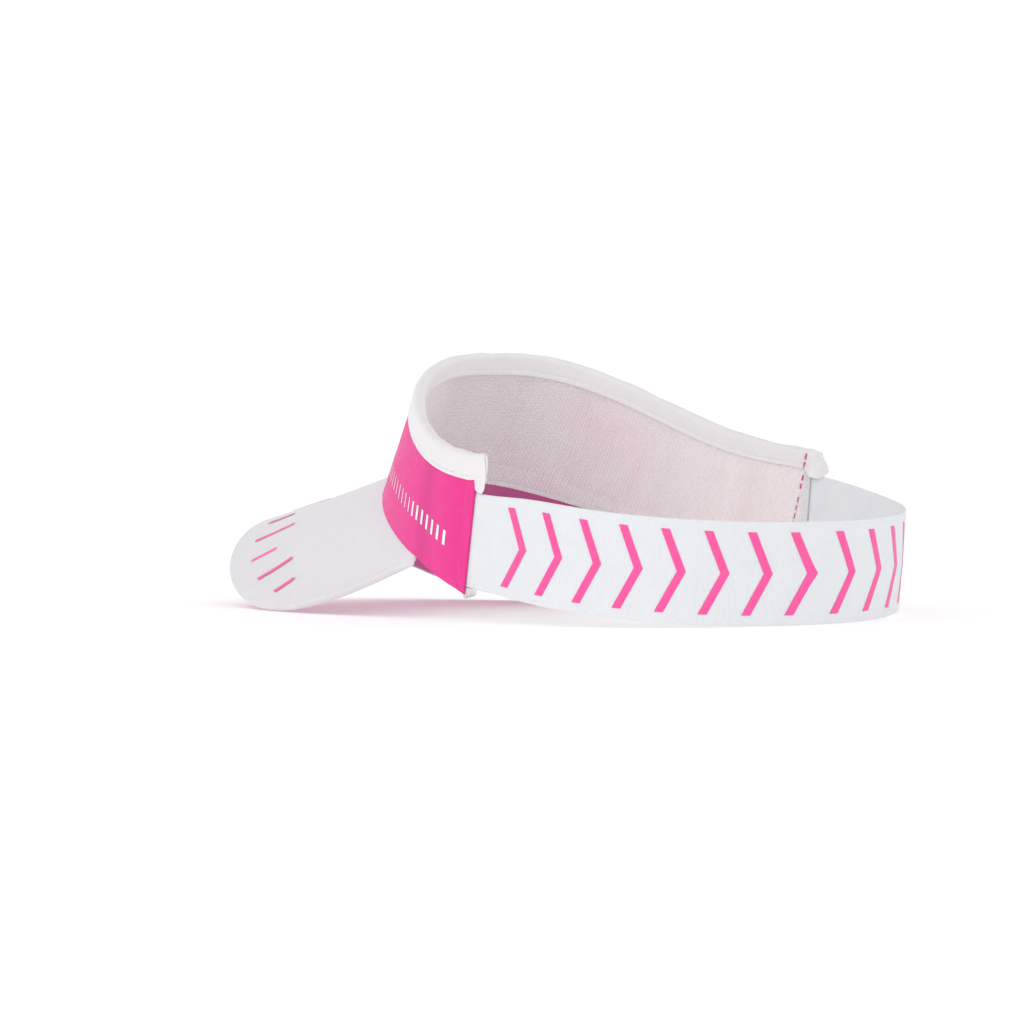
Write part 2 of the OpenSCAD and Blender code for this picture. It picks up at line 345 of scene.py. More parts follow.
def tilted(p):
    y = p[..., 1] * math.cos(TILT) + p[..., 2] * math.sin(TILT)
    z = p[..., 2] * math.cos(TILT) - p[..., 1] * math.sin(TILT)
    return np.stack([p[..., 0], y, z], -1)


rear = tilted(on_band(180, [0, BAND_W], 0))
band_low, band_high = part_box("elastic_band")
HEAD_ORIGIN = Vector((0, band_high.y - rear[:, 1].max() * MM, band_low.z - rear[:, 2].min() * MM))


def stand(p):
    """Points of the head's frame in millimetres, set on the table in metres."""
    return tilted(p) * MM + np.array(HEAD_ORIGIN)


def side_point(a):
    """A point of the elastic's middle line, brought to the visor's middle plane."""
    p = stand(on_band(a, BAND_W / 2, 0))
    return Vector((0, p[1], p[2]))


STRETCH_FROM = side_point(SEAM + 1)
along = Vector(back_axis).normalized()
STRETCH_TO = STRETCH_FROM + along * (side_point(180) - STRETCH_FROM).dot(along)

# --- camera ---

CAM_AZIMUTH = 137.6
CAM_ELEVATION = 2.15
CAM_DISTANCE = 2.224
CAM_LENS = 225.7
AIM_RIGHT = 1.004  # where the head frame's origin is seen, in degrees from the middle
AIM_DOWN = 0.623


def make_camera():
    back = toward(CAM_AZIMUTH, CAM_ELEVATION)
    turn = math.radians(CAM_AZIMUTH)
    right = Vector((math.cos(turn), math.sin(turn), 0))
    axes = Matrix((right, back.cross(right), back)).transposed()
    seen_at = Vector((math.tan(math.radians(AIM_RIGHT)), -math.tan(math.radians(AIM_DOWN)), -1))
    aim = seen_at.rotation_difference(Vector((0, 0, -1))).to_matrix()
    data = bpy.data.cameras.new("camera")
    data.lens = CAM_LENS
    data.clip_end = 60
    camera = added("camera", data)
    spot = Matrix.Translation(HEAD_ORIGIN + back * CAM_DISTANCE)
    camera.matrix_world = spot @ (axes @ aim).to_4x4()
    bpy.context.scene.camera = camera


make_camera()

# --- mesh builders ---


def grid_faces(nu, nv, first=0):
    i = np.arange(nu - 1)[:, None] * nv + np.arange(nv - 1)[None] + first
    return np.stack([i, i + nv, i + nv + 1, i + 1], -1).reshape(-1, 4)


def border(nu, nv):
    """The indices round a grid's edge, in order."""
    i = np.arange(nu * nv).reshape(nu, nv)
    return np.concatenate([i[:-1, 0], i[-1, :-1], i[:0:-1, -1], i[0, :0:-1]])


def piece(name, slot, node, points, faces, uv, stretches=False):
    """What is seen of a CAD node, in its slot's material; uv is in millimetres along the cloth.
    It rides on the front body, or, for the elastic and its print, is left unattached with its
    transform baked into its points."""
    mesh = bpy.data.meshes.new(name)
    mesh.from_pydata(stand(points).tolist(), [], faces)
    corners = np.zeros(len(mesh.loops), np.int32)
    mesh.loops.foreach_get("vertex_index", corners)
    layer = mesh.uv_layers.new(name="cloth")
    layer.data.foreach_set("uv", (uv[corners] * MM).astype(np.float32).ravel())
    body = bmesh.new()
    body.from_mesh(mesh)
    bmesh.ops.recalc_face_normals(body, faces=body.faces)
    body.to_mesh(mesh)
    body.free()
    mesh.shade_smooth()
    mesh.materials.append(MATERIALS[slot])
    thing = added(name, mesh)
    if stretches:
        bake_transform(thing)
    else:
        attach(thing, "front")
    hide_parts(node)
    return thing


def from_ends(p, axis):
    """Each grid point's distance along its row or column to the nearer end."""
    steps = np.linalg.norm(np.diff(p, axis=axis), axis=-1)
    run = np.cumsum(np.insert(steps, 0, 0, axis=axis), axis=axis)
    return np.minimum(run, np.take(run, [-1], axis=axis) - run)


EDGE_SHARE = 0.3  # share of a cloth's thickness left at its very edge
NEAR_EDGE = [0, 0.05, 0.15, 0.3, 0.6]


def two_faces(place, u, v, out, into):
    """The outer and inner points of a sheet between two offsets, its edges rounded."""
    u, v, out, into = np.broadcast_arrays(u, v, out, into)
    middle = (out + into) / 2
    half = (out - into) / 2
    p = place(u, v, middle)
    t = np.clip(np.minimum(from_ends(p, 0), from_ends(p, 1)) / np.maximum(half, 1e-6), 0, 1)
    half = half * mix(EDGE_SHARE, 1, np.sqrt(1 - (1 - t) ** 2))
    return place(u, v, middle + half), place(u, v, middle - half)


def sheet_parts(place, u, v, out, into, uv_u, uv_v):
    """A closed sheet as (points, faces, uv)."""
    outer, inner = two_faces(place, u, v, out, into)
    nu, nv = outer.shape[:2]
    count = nu * nv
    loop = border(nu, nv)
    after = np.roll(loop, -1)
    faces = np.concatenate([
        grid_faces(nu, nv),
        grid_faces(nu, nv, count)[:, ::-1],
        np.stack([loop, loop + count, after + count, after], -1),
    ])
    uv = np.stack(np.broadcast_arrays(uv_u, uv_v), -1)
    uv = np.broadcast_to(uv, (nu, nv, 2)).reshape(-1, 2)
    points = np.concatenate([outer.reshape(-1, 3), inner.reshape(-1, 3)])
    return points, faces.tolist(), np.concatenate([uv, uv])


def joined(parts):
    """Several (points, faces, uv) as one."""
    points, faces, uv, first = [], [], [], 0
    for p, f, t in parts:
        points.append(p)
        uv.append(t)
        faces += [[i + first for i in face] for face in f]
        first += len(p)
    return np.concatenate(points), faces, np.concatenate(uv)


def sheet(name, slot, node, *shape, stretches=False):
    return piece(name, slot, node, *sheet_parts(*shape), stretches)


def tube_parts(paths, radius, sides=6, closed_ends=0.45):
    """Threads as (points, faces, uv): each path is a row of points, thinner at its two ends."""
    count, length = paths.shape[:2]
    ahead = unit(np.gradient(paths, axis=1))
    side = unit(np.cross(ahead, np.array([0.31, 0.23, 0.92])))
    up = np.cross(side, ahead)
    r = np.full(length, radius)
    r[[0, -1]] *= closed_ends
    turn = np.arange(sides) * 2 * math.pi / sides
    around = np.cos(turn)[:, None] * side[:, :, None] + np.sin(turn)[:, None] * up[:, :, None]
    points = paths[:, :, None] + r[:, None, None] * around
    index = np.arange(count * length * sides).reshape(count, length, sides)
    after = np.roll(index, -1, axis=2)
    walls = np.stack([index[:, :-1], after[:, :-1], after[:, 1:], index[:, 1:]], -1)
    faces = walls.reshape(-1, 4).tolist()
    faces += index[:, 0, ::-1].tolist() + index[:, -1].tolist()
    run = np.cumsum(np.insert(np.linalg.norm(np.diff(paths, axis=1), axis=-1), 0, 0, axis=1), 1)
    uv = np.stack(np.broadcast_arrays(run[:, :, None], (turn * radius)[None, None]), -1)
    return points.reshape(-1, 3), faces, uv.reshape(-1, 2)


def spaced(length, step, near):
    """Places from 0 to length: at the given distances from both ends, and step apart between."""
    near = np.array(near)
    count = max(1, round((length - 2 * near[-1]) / step))
    between = np.linspace(near[-1], length - near[-1], count + 1)[1:-1]
    return np.concatenate([near, between, length - near[::-1]])


def stations(a0, a1, step, near=NEAR_EDGE):
    """Angles from a0 to a1, spaced by distance along the ring."""
    r0, r1 = run_at(a0), run_at(a1)
    return angle_at(r0 + spaced(r1 - r0, step, near))[:, None]


def heights(low, high, count, near_low=NEAR_EDGE, near_high=NEAR_EDGE):
    """Rows from low to high: at the given distances from each, and count evenly between."""
    near_low, near_high = np.array(near_low), np.array(near_high)
    start, end = low + near_low[-1], high - near_high[-1]
    middle = mix(start, end, np.linspace(0, 1, count + 2)[1:-1])
    return np.concatenate([low + near_low, middle, high - near_high[::-1]], 1)


# --- materials ---


def colour(code):
    """A linear colour from its six-digit code."""
    channels = [int(code[i:i + 2], 16) / 255 for i in (0, 2, 4)]
    return [c / 12.92 if c < 0.04045 else ((c + 0.055) / 1.055) ** 2.4 for c in channels] + [1]


class Surface:
    """A material whose nodes are added one at a time; x and y are millimetres along the cloth."""

    def __init__(self, name, roughness, sheen=0.0, specular=0.5):
        self.material = bpy.data.materials.new(name)
        self.material.use_nodes = True
        self.tree = self.material.node_tree
        self.shader = self.tree.nodes["Principled BSDF"]
        for key, value in (("Roughness", roughness), ("Sheen Weight", sheen),
                           ("Sheen Roughness", 0.4), ("Specular IOR Level", specular)):
            self.shader.inputs[key].default_value = value
        cloth = self.add("ShaderNodeUVMap", uv_map="cloth").outputs[0]
        split = self.add("ShaderNodeSeparateXYZ", {0: cloth})
        self.x, self.y = (self.math("MULTIPLY", split.outputs[i], 1000) for i in (0, 1))
        self.place = self.add("ShaderNodeTexCoord").outputs["Object"]

    def add(self, kind, inputs=None, **settings):
        made = self.tree.nodes.new(kind)
        for key, value in settings.items():
            setattr(made, key, value)
        for key, value in (inputs or {}).items():
            if isinstance(value, bpy.types.NodeSocket):
                self.tree.links.new(value, made.inputs[key])
            else:
                made.inputs[key].default_value = value
        return made

    def math(self, operation, a, b=0.0, c=0.0):
        made = self.add("ShaderNodeMath", {0: a, 1: b, 2: c}, operation=operation)
        return made.outputs[0]

    def wave(self, value, pitch, turn=0.0):
        """A sine of that pitch along value, from 0 to 1."""
        angle = self.math("MULTIPLY_ADD", value, 2 * math.pi / pitch, turn)
        return self.math("MULTIPLY_ADD", self.math("SINE", angle), 0.5, 0.5)

    def noise(self, size, detail=2.0, roughness=0.5):
        """Noise with cells about size millimetres across, from 0 to 1."""
        inputs = {"Vector": self.place, "Scale": 1 / (size * MM), "Detail": detail,
                  "Roughness": roughness}
        return self.add("ShaderNodeTexNoise", inputs).outputs["Fac"]

    def blend(self, share, a, b):
        """From a to b, which are colour codes or other blends."""
        a, b = (colour(tone) if isinstance(tone, str) else tone for tone in (a, b))
        made = self.add("ShaderNodeMix", {0: share, 6: a, 7: b}, data_type="RGBA")
        return made.outputs[2]

    def range(self, value, low, high, to_low=0.0, to_high=1.0):
        made = self.add("ShaderNodeMapRange", {0: value, 1: low, 2: high, 3: to_low, 4: to_high})
        return made.outputs[0]

    def paint(self, value):
        self.tree.links.new(value, self.shader.inputs["Base Color"])

    def rough(self, noise, low, high):
        self.tree.links.new(self.range(noise, 0.3, 0.7, low, high),
                            self.shader.inputs["Roughness"])

    def bump(self, *layers):
        """Raises the surface by each (height from 0 to 1, depth in millimetres) in turn."""
        normal = None
        for height, depth in layers:
            inputs = {"Height": height, "Distance": depth * MM, "Strength": 1.0}
            if normal is not None:
                inputs["Normal"] = normal
            normal = self.add("ShaderNodeBump", inputs).outputs[0]
        self.tree.links.new(normal, self.shader.inputs["Normal"])


def satin(name, light, dark, roughness=0.42, sheen=0.25, pitch=0.42, lift=0.02,
          specular=0.5, painted_shade_run=None):
    """Polyester satin: a fine warp-faced weave with a soft sheen and faint slubs. The last
    argument, if given, is how far along the cloth, to each side, an upright band of painted shade
    runs, where the soft crease would lie in shade; there the colour is darkened toward DA3389."""
    s = Surface(name, roughness, sheen, specular)
    warp = s.wave(s.x, pitch)
    weft = s.wave(s.y, pitch * 0.8, 1.0)
    weave = s.math("MULTIPLY", warp, weft)
    slub = s.noise(5.0, 3.0)
    tone = s.math("MULTIPLY_ADD", weave, 0.35, s.math("MULTIPLY", slub, 0.65))
    shade = s.blend(tone, dark, light)
    if painted_shade_run:
        # painted shade: the colour darkens toward DA3389 in a band reaching 9 mm to each side of
        # the crease
        away = s.math("ABSOLUTE", s.math("SUBTRACT", s.math("ABSOLUTE", s.x), painted_shade_run))
        shade = s.blend(s.range(away, 0, 9, 0.7, 0.0), shade, "DA3389")
    s.paint(shade)
    s.rough(s.noise(1.6), roughness - 0.05, roughness + 0.07)
    s.bump((s.noise(14.0, 1.0), lift * 8), (weave, lift))
    return s.material


def make_terry():
    """Ribbed terry: rows of small loops along each rib, lilac grey with faint pink patches, and
    painted light that makes it paler toward both sides.
    """
    s = Surface("terry", 0.95, 0.6, 0.15)
    slant = s.math("MULTIPLY_ADD", s.y, RIB_SLANT, s.x)
    rib = s.wave(slant, RIB_PITCH, math.pi / 2)
    loops = s.wave(s.math("MULTIPLY_ADD", s.noise(1.8, 2.0), LOOP_PITCH * 2.4, s.y), LOOP_PITCH)
    fuzz = s.noise(0.5, 5.0, 0.75)
    loop_height = s.math("MULTIPLY", loops, rib)
    shade = s.math("MULTIPLY_ADD", fuzz, 0.62, s.math("MULTIPLY", loop_height, 0.38))
    base = s.blend(s.range(shade, 0.22, 0.72), "DDD0D6", "FFFAFB")
    patch = s.range(s.noise(26.0, 2.0), 0.52, 0.72, 0.0, 0.22)
    # painted light: the colour turns paler, toward FFF6F6, from 12 mm to 112 mm along the cloth to
    # each side of the front
    base = s.blend(s.range(s.math("ABSOLUTE", s.x), 12, 112, 0.0, 0.85), base, "FFF6F6")
    s.paint(s.blend(patch, base, "F8B9D4"))
    s.bump((rib, 0.1), (loop_height, 0.1), (fuzz, 0.22))
    return s.material


def make_elastic():
    """Woven elastic: fine ribs across the band, and a closer weave within them."""
    s = Surface("elastic", 0.75, 0.12, 0.25)
    rib = s.wave(s.x, ELASTIC_PITCH, math.pi / 2)
    picks = s.wave(s.y, 0.55)
    weave = s.math("MULTIPLY", rib, picks)
    tint = s.math("MULTIPLY_ADD", s.noise(9.0, 2.0), 0.6, s.math("MULTIPLY", weave, 0.4))
    s.paint(s.blend(tint, "E2E5E9", "EFF1F4"))
    s.bump((weave, 0.03), (s.noise(0.5, 3.0), 0.025))
    return s.material


def thread(name, code, dark):
    """Twisted sewing thread."""
    s = Surface(name, 0.5, 0.3)
    twist = s.wave(s.math("MULTIPLY_ADD", s.y, 1.4, s.x), 0.32)
    s.paint(s.blend(twist, dark, code))
    s.bump((twist, 0.05))
    return s.material


def film(name, code, dark):
    """Heat-transfer film: smooth, with the cloth's weave faintly pressed into it."""
    s = Surface(name, 0.38, 0.0, 0.4)
    weave = s.math("MULTIPLY", s.wave(s.x, ELASTIC_PITCH), s.wave(s.y, 0.55))
    s.paint(s.blend(s.noise(3.0, 2.0), dark, code))
    s.rough(s.noise(0.8), 0.32, 0.46)
    s.bump((weave, 0.015))
    return s.material


def make_buckram():
    """Open stiff weave, sized with glue."""
    s = Surface("buckram", 0.8, 0.1)
    weave = s.math("MAXIMUM", s.wave(s.x, 1.1), s.wave(s.y, 1.1))
    s.paint(s.blend(weave, "A8A294", "D6D1C2"))
    s.bump((weave, 0.15), (s.noise(0.6), 0.05))
    return s.material


def make_board():
    """Matte polyethylene sheet with a fine rolled grain."""
    s = Surface("brim_board", 0.55, 0.0, 0.4)
    grain = s.noise(0.7, 3.0)
    s.paint(s.blend(s.noise(6.0), "4C4E52", "5E6064"))
    s.rough(grain, 0.45, 0.65)
    s.bump((grain, 0.03))
    return s.material


RIB_PITCH = 1.2
RIB_SLANT = 0.32
LOOP_PITCH = 1.0
ELASTIC_PITCH = 1.0
FOLD = 78  # degrees from the front at which the panel has a soft upright hollow, with a band of painted shade along it

MATERIALS = {
    # The panel's satin has a band of painted shade along the crease at FOLD.
    "panel_satin": satin("panel_satin", "F6439C", "EA368F", sheen=0.0, specular=0.13,
                         painted_shade_run=float(run_at(FOLD))),
    "binding_satin": satin("binding_satin", "F4F1F1", "EAE7E9", 0.5, 0.1),
    "brim_satin": satin("brim_satin", "E9E7EA", "DEDBE0", 0.4),
    "brim_lining": satin("lining_satin", "CC559A", "BE4A8C"),
    "terry": make_terry(),
    "elastic": make_elastic(),
    "white_thread": thread("white_thread", "FFFCFB", "F2ECEE"),
    "pink_thread": thread("pink_thread", "FF62AC", "EE4C98"),
    "pink_print": film("pink_film", "FF5CA7", "F9529E"),
    "white_print": film("white_film", "FFFDFE", "F6F2F5"),
    "buckram": make_buckram(),
    "brim_board": make_board(),
}

# --- the cloth's own shape: soft hollows, gathers and stitched grooves ---

GROOVE = 0.3  # how deep a row of stitches pulls the cloth in


def seam_run(a):
    """Distance along the ring from the nearer side seam, positive toward the front."""
    return run_at(SEAM) - run_at(np.abs(a))


STITCH_RUN = float(seam_run(SEAM - SEAM_STITCH))


def stitch_in(z):
    """The angle of the side seam's stitch on the inside: it runs a little askew."""
    return SEAM - SEAM_STITCH_IN - STITCH_SKEW * (TOP_SIDE - BINDING_IN - z)


def relief(a, z):
    """How far the panel's cloth stands proud of its plain surface: never less than 0."""
    run = run_at(a)
    soft = (0.55 + 0.45 * waves(run, z * 0.25, 46, 3)) * (1 - 0.9 * hill(np.abs(a) - FOLD, 7))
    inside = smooth(seam_run(a) / 14) * smooth((top_z(a) - z) / 22) * smooth(
        (z - bottom_z(a)) / 10)
    return 0.9 * np.clip(soft, 0, 1) * inside


def panel_surface(a, z, off):
    return on_panel(a, z, off + relief(a, z))


# --- the pieces ---


def make_front_panel():
    near = NEAR_EDGE + [1.2, 2, 2.8, 3.4, 3.8, 4.1, 4.4, 4.7, 5.1, 5.7, 6.6, 8]
    a = stations(-SEAM, SEAM, 1.5, near)
    near_low = NEAR_EDGE + [1.1, 1.5, 1.8, 2.0, 2.2, 2.5, 3.0, 4.0, 5.5]
    z = heights(bottom_z(a) + 0.04, top_z(a) - CLOTH_TOP, 26, near_low, [0, 0.3, 1])
    end = seam_run(a)
    up = z - bottom_z(a)
    groove = GROOVE * hill(end - STITCH_RUN, 0.45)
    hem = 0.3 * smooth((STITCH_RUN - end) / 0.6 + 0.5)
    behind_brim = smooth((np.abs(a) - BRIM_ANGLE + 1) / 3)
    low_groove = 0.05 * hill(up - STITCH_LINE, 0.4) * behind_brim
    pull = 0.07 * waves(run_at(a), z, 7, 5) * hill(up - STITCH_LINE, 5)
    gather = 0.1 * waves(z, run_at(a), 6, 8) * hill(end - STITCH_RUN, 5)
    out = PANEL_FACE + hem - groove - low_groove + pull + gather
    return sheet("front_panel_cloth", "panel_satin", "front_panel", panel_surface, a, z, out,
                 PANEL_BACK, run_at(a), z)


def make_stiffener():
    reach = SEAM - TUCK - 4
    a = stations(-reach, reach, 4)
    z = heights(bottom_z(a) + ALLOWANCE_H + 0.1, top_z(a) - CLOTH_TOP, 12)
    return sheet("stiffener_buckram", "buckram", "panel_stiffener", on_panel, a, z, CORE_OUT,
                 CORE_IN, run_at(a), z)


def make_allowance():
    """The brim covers' edges, turned up inside the panel and notched so that they lie round it."""
    a = stations(-BRIM_ANGLE, BRIM_ANGLE, 1.6)
    z = heights(bottom_z(a) + 0.1, bottom_z(a) + ALLOWANCE_H, 3)
    notch = 0.12 * waves(run_at(a), z, 5, 71)
    return [sheet(name, slot, "brim_seam_allowance", on_panel, a, z, out - 0.04,
                  out - 0.42 + 0.3 * notch, run_at(a), z)
            for name, slot, out in (("brim_allowance_satin", "brim_satin", CORE_OUT),
                                    ("brim_allowance_lining", "brim_lining", CORE_OUT - 0.5))]


RIB_DEPTH = 0.16
SWEAT_REACH = SEAM - 0.35
SWEAT_RUN = run_at([-SWEAT_REACH, SWEAT_REACH])


def pad_low(a):
    return bottom_z(a) + STITCH_LINE


def pad_high(a):
    return top_z(a) - BINDING_IN


def simulated_swell():
    """The lining as cloth, sewn down on all four sides, cut a little full and pushed inward by
    its own loops. Gives how far it swells, in millimetres, on a grid."""
    a = angle_at(np.linspace(*SWEAT_RUN, PAD_COLUMNS))[:, None]
    z = mix(pad_low(a), pad_high(a), np.linspace(0, 1, PAD_ROWS)[None])
    rest = on_panel(a + 0 * z, z, SWEAT_IN)
    inward = -np.concatenate([ring_out(a + 0 * z), 0 * z[..., None]], -1)
    mesh = bpy.data.meshes.new("pad_cloth")
    faces = grid_faces(PAD_COLUMNS, PAD_ROWS)[:, ::-1].tolist()
    mesh.from_pydata((rest.reshape(-1, 3) * PAD_SCALE).tolist(), [], faces)
    cloth = added("pad_cloth", mesh)
    first = mesh.polygons[0]
    faces_in = first.normal.dot(Vector(inward.reshape(-1, 3)[first.vertices[0]])) > 0
    held = cloth.vertex_groups.new(name="held")
    held.add(border(PAD_COLUMNS, PAD_ROWS).tolist(), 1.0, "REPLACE")
    settings = cloth.modifiers.new("cloth", "CLOTH").settings
    settings.vertex_group_mass = "held"
    settings.quality = 6
    settings.mass = 0.2
    settings.tension_stiffness = settings.compression_stiffness = 12
    settings.shear_stiffness = 6
    settings.bending_stiffness = 5
    settings.shrink_min = -0.003
    settings.effector_weights.gravity = 0
    settings.use_pressure = True
    settings.uniform_pressure_force = PAD_PRESSURE * (1 if faces_in else -1)
    scene = bpy.context.scene
    for frame_number in range(1, PAD_FRAMES + 1):
        scene.frame_set(frame_number)
    moved = cloth.evaluated_get(bpy.context.evaluated_depsgraph_get()).data
    points = np.zeros(len(moved.vertices) * 3, np.float32)
    moved.vertices.foreach_get("co", points)
    shift = points.reshape(rest.shape) / PAD_SCALE - rest
    bpy.data.objects.remove(cloth)
    scene.frame_set(1)
    return PAD_MOST * np.tanh((shift * inward).sum(-1) / PAD_MOST)


END_PRESS = 0.9  # how much thinner the seams press the terry's ends
PAD_COLUMNS = 131
PAD_ROWS = 27
PAD_SCALE = 0.01  # the cloth is simulated at ten times its size
PAD_PRESSURE = 1.0
PAD_MOST = 1.6
PAD_FRAMES = 30
swell = simulated_swell()


def swell_at(a, z):
    """The swell between the grid's points."""
    u = np.clip((run_at(a) / SWEAT_RUN[1] + 1) / 2, 0, 1) * (PAD_COLUMNS - 1)
    v = np.clip((z - pad_low(a)) / (pad_high(a) - pad_low(a)), 0, 1) * (PAD_ROWS - 1)
    u, v = np.broadcast_arrays(u, v)
    i = np.minimum(u.astype(int), PAD_COLUMNS - 2)
    j = np.minimum(v.astype(int), PAD_ROWS - 2)
    low = mix(swell[i, j], swell[i + 1, j], u - i)
    high = mix(swell[i, j + 1], swell[i + 1, j + 1], u - i)
    return mix(low, high, v - j)


def sweat_face(a, z):
    """The terry's inner face as a distance inward: swollen, and pulled in by its stitches."""
    line = hill(z - pad_low(a), 0.7) * smooth(seam_run(a) / 10)
    seam = hill(seam_run(a) - seam_run(stitch_in(z)), 0.6)
    pressed = END_PRESS * smooth(1 - seam_run(a) / 3.2)
    return SWEAT_IN - swell_at(a, z) + 0.4 * line + 0.3 * seam + pressed


def make_sweatband():
    count = int(np.ptp(SWEAT_RUN) / RIB_PITCH) * 4
    a = angle_at(np.linspace(*SWEAT_RUN, count + 1))[:, None]
    near_low = [0, 0.15, 0.4, 0.9, 1.6, 2.4, 3.3, 4.3, 5.3, 6.2, 6.8, 7.3, 7.8, 8.3, 8.8, 9.5, 11]
    z = heights(sweat_low(a), top_z(a) - CLOTH_TOP, 24, near_low, [0, 0.5, 2, 4])
    phase = (run_at(a) + RIB_SLANT * z) / RIB_PITCH
    pressed = smooth((z - sweat_low(a) - 1.3) / 0.8) * smooth((seam_run(a) - 2.2) / 1.2)
    rib = (np.abs(np.cos(math.pi * phase)) - 0.6) * pressed
    tuft = 0.05 * waves(run_at(a), z, 2.2, 21)
    face = sweat_face(a, z) - RIB_DEPTH * rib - tuft
    return sheet("sweatband_terry", "terry", "sweatband", on_panel, a, z, SWEAT_OUT, face,
                 run_at(a), z)


def overlock_paths(count, edge_place, width, wobble):
    """Thread loops round an edge: edge_place(share, in, face) gives points, with in the distance
    from the edge and face from -1 at the back to 1 at the front."""
    step = 1 / count
    start = (np.arange(count) + 0.5 + wobble * (rng.random(count) - 0.5)) * step
    t = np.linspace(0, 1, 11)[None]
    share = start[:, None] + step * np.interp(t, [0, 0.25, 0.5, 0.75, 1], [-.5, -.1, 0, .1, .5])
    inward = width * np.abs(2 * t - 1) - 0.12
    reach = width * (1 + wobble * (rng.random((count, 1)) - 0.5))
    face = np.cos(math.pi * np.clip((t - 0.38) / 0.24, 0, 1))
    return edge_place(share, inward * reach / width, face + 0 * share)


def make_overlock():
    middle = (SWEAT_OUT + SWEAT_IN) / 2
    half = (SWEAT_OUT - SWEAT_IN) / 2 + 0.12

    def low_edge(share, inward, face):
        a = angle_at(mix(*SWEAT_RUN, np.clip(share, 0, 1)))
        return on_panel(a, sweat_low(a) + inward, middle - face * half)

    def end_edge(side):
        def place(share, inward, face):
            z = mix(sweat_low(SWEAT_REACH), TOP_SIDE - BINDING_IN + 1, np.clip(share, 0, 1))
            a = side * angle_at(SWEAT_RUN[1] - inward)
            front = sweat_face(a, z) - 0.04
            return on_panel(a, z, mix(SWEAT_OUT, front, (face + 1) / 2))
        return place

    def packed(a, high, rows, side):
        """Thread packed close together on the terry's face, along an edge."""
        z = heights(sweat_low(a) - 0.04, high, rows)
        lumps = 0.09 * waves(run_at(a) * 3, z, 1.6, 23)
        face = sweat_face(a, z) - 0.1
        return sheet_parts(lambda u, v, w: on_panel(side * u, v, w), a, z, face + 0.3,
                           face + lumps, run_at(a), z)

    ends = stations(SWEAT_REACH - 1.6, SWEAT_REACH + 0.04, 0.4)
    low = stations(-SWEAT_REACH + 1.6, SWEAT_REACH - 1.6, 0.7)
    parts = [tube_parts(overlock_paths(290, low_edge, 2.2, 0.25), 0.2),
             packed(low, sweat_low(low) + 1.5, 3, 1)]
    for side in (-1, 1):
        parts.append(tube_parts(overlock_paths(56, end_edge(side), 2.5, 0.3), 0.24))
        parts.append(packed(ends, TOP_SIDE - BINDING_IN + 1 + 0 * ends, 40, side))
    return piece("sweatband_overlock_thread", "white_thread", "sweatband_overlock",
                 *joined(parts))


# The binding's section, measured along the cloth from its lower edge outside
FOLD_MID = (FOLD_OUT + FOLD_IN) / 2
FOLD_HALF = (FOLD_OUT - FOLD_IN) / 2
LEG_OUT = BINDING_OUT - FOLD_HALF
LEG_IN = BINDING_IN - FOLD_HALF
ARC = math.pi * FOLD_HALF
SECTION = LEG_OUT + ARC + LEG_IN
BINDING_STITCH_OUT = 1.4
BINDING_STITCH_IN = 1.9
BINDING_REACH = SEAM + 3.1
TAIL_DROP = 3.3
TAIL_CORNER = 1.8  # how far up the tail's lower corner is rounded
TAIL_CREST = 0.66  # share of the tail's length kept at its crest
TAIL_RISE = 0.8
TAIL_LIFT_IN = 4.0  # how far its inner edge slants up, so that it ends in a corner
TAIL_LIFT_OUT = 3.0  # and its outer edge, on the right
TAIL_DROP_IN = 2.0
TAIL_SPREAD = 1.9  # how far the right tail's inner leg stands off, clear of the elastic
INNER_NARROW = 0.19  # share by which the inner leg narrows toward the side seams
TAIL_HALF = 0.44  # half the folded tail's thickness
RIGHT_DROP = 1.4  # how much lower the right tail sits than the left one
RIGHT_CREST = 0.35
RIGHT_FLARE = 0.4  # share by which the right tail's inner leg reaches farther


def in_tail(a):
    """0 on the panel, 1 beyond its end."""
    return smooth((np.abs(a) - SEAM - 0.05) / 0.3)


def pinched(a):
    """0 where the binding is open round the panel, 1 where the tail is folded flat."""
    return smooth((np.abs(a) - SEAM - 0.1) / 1.7)


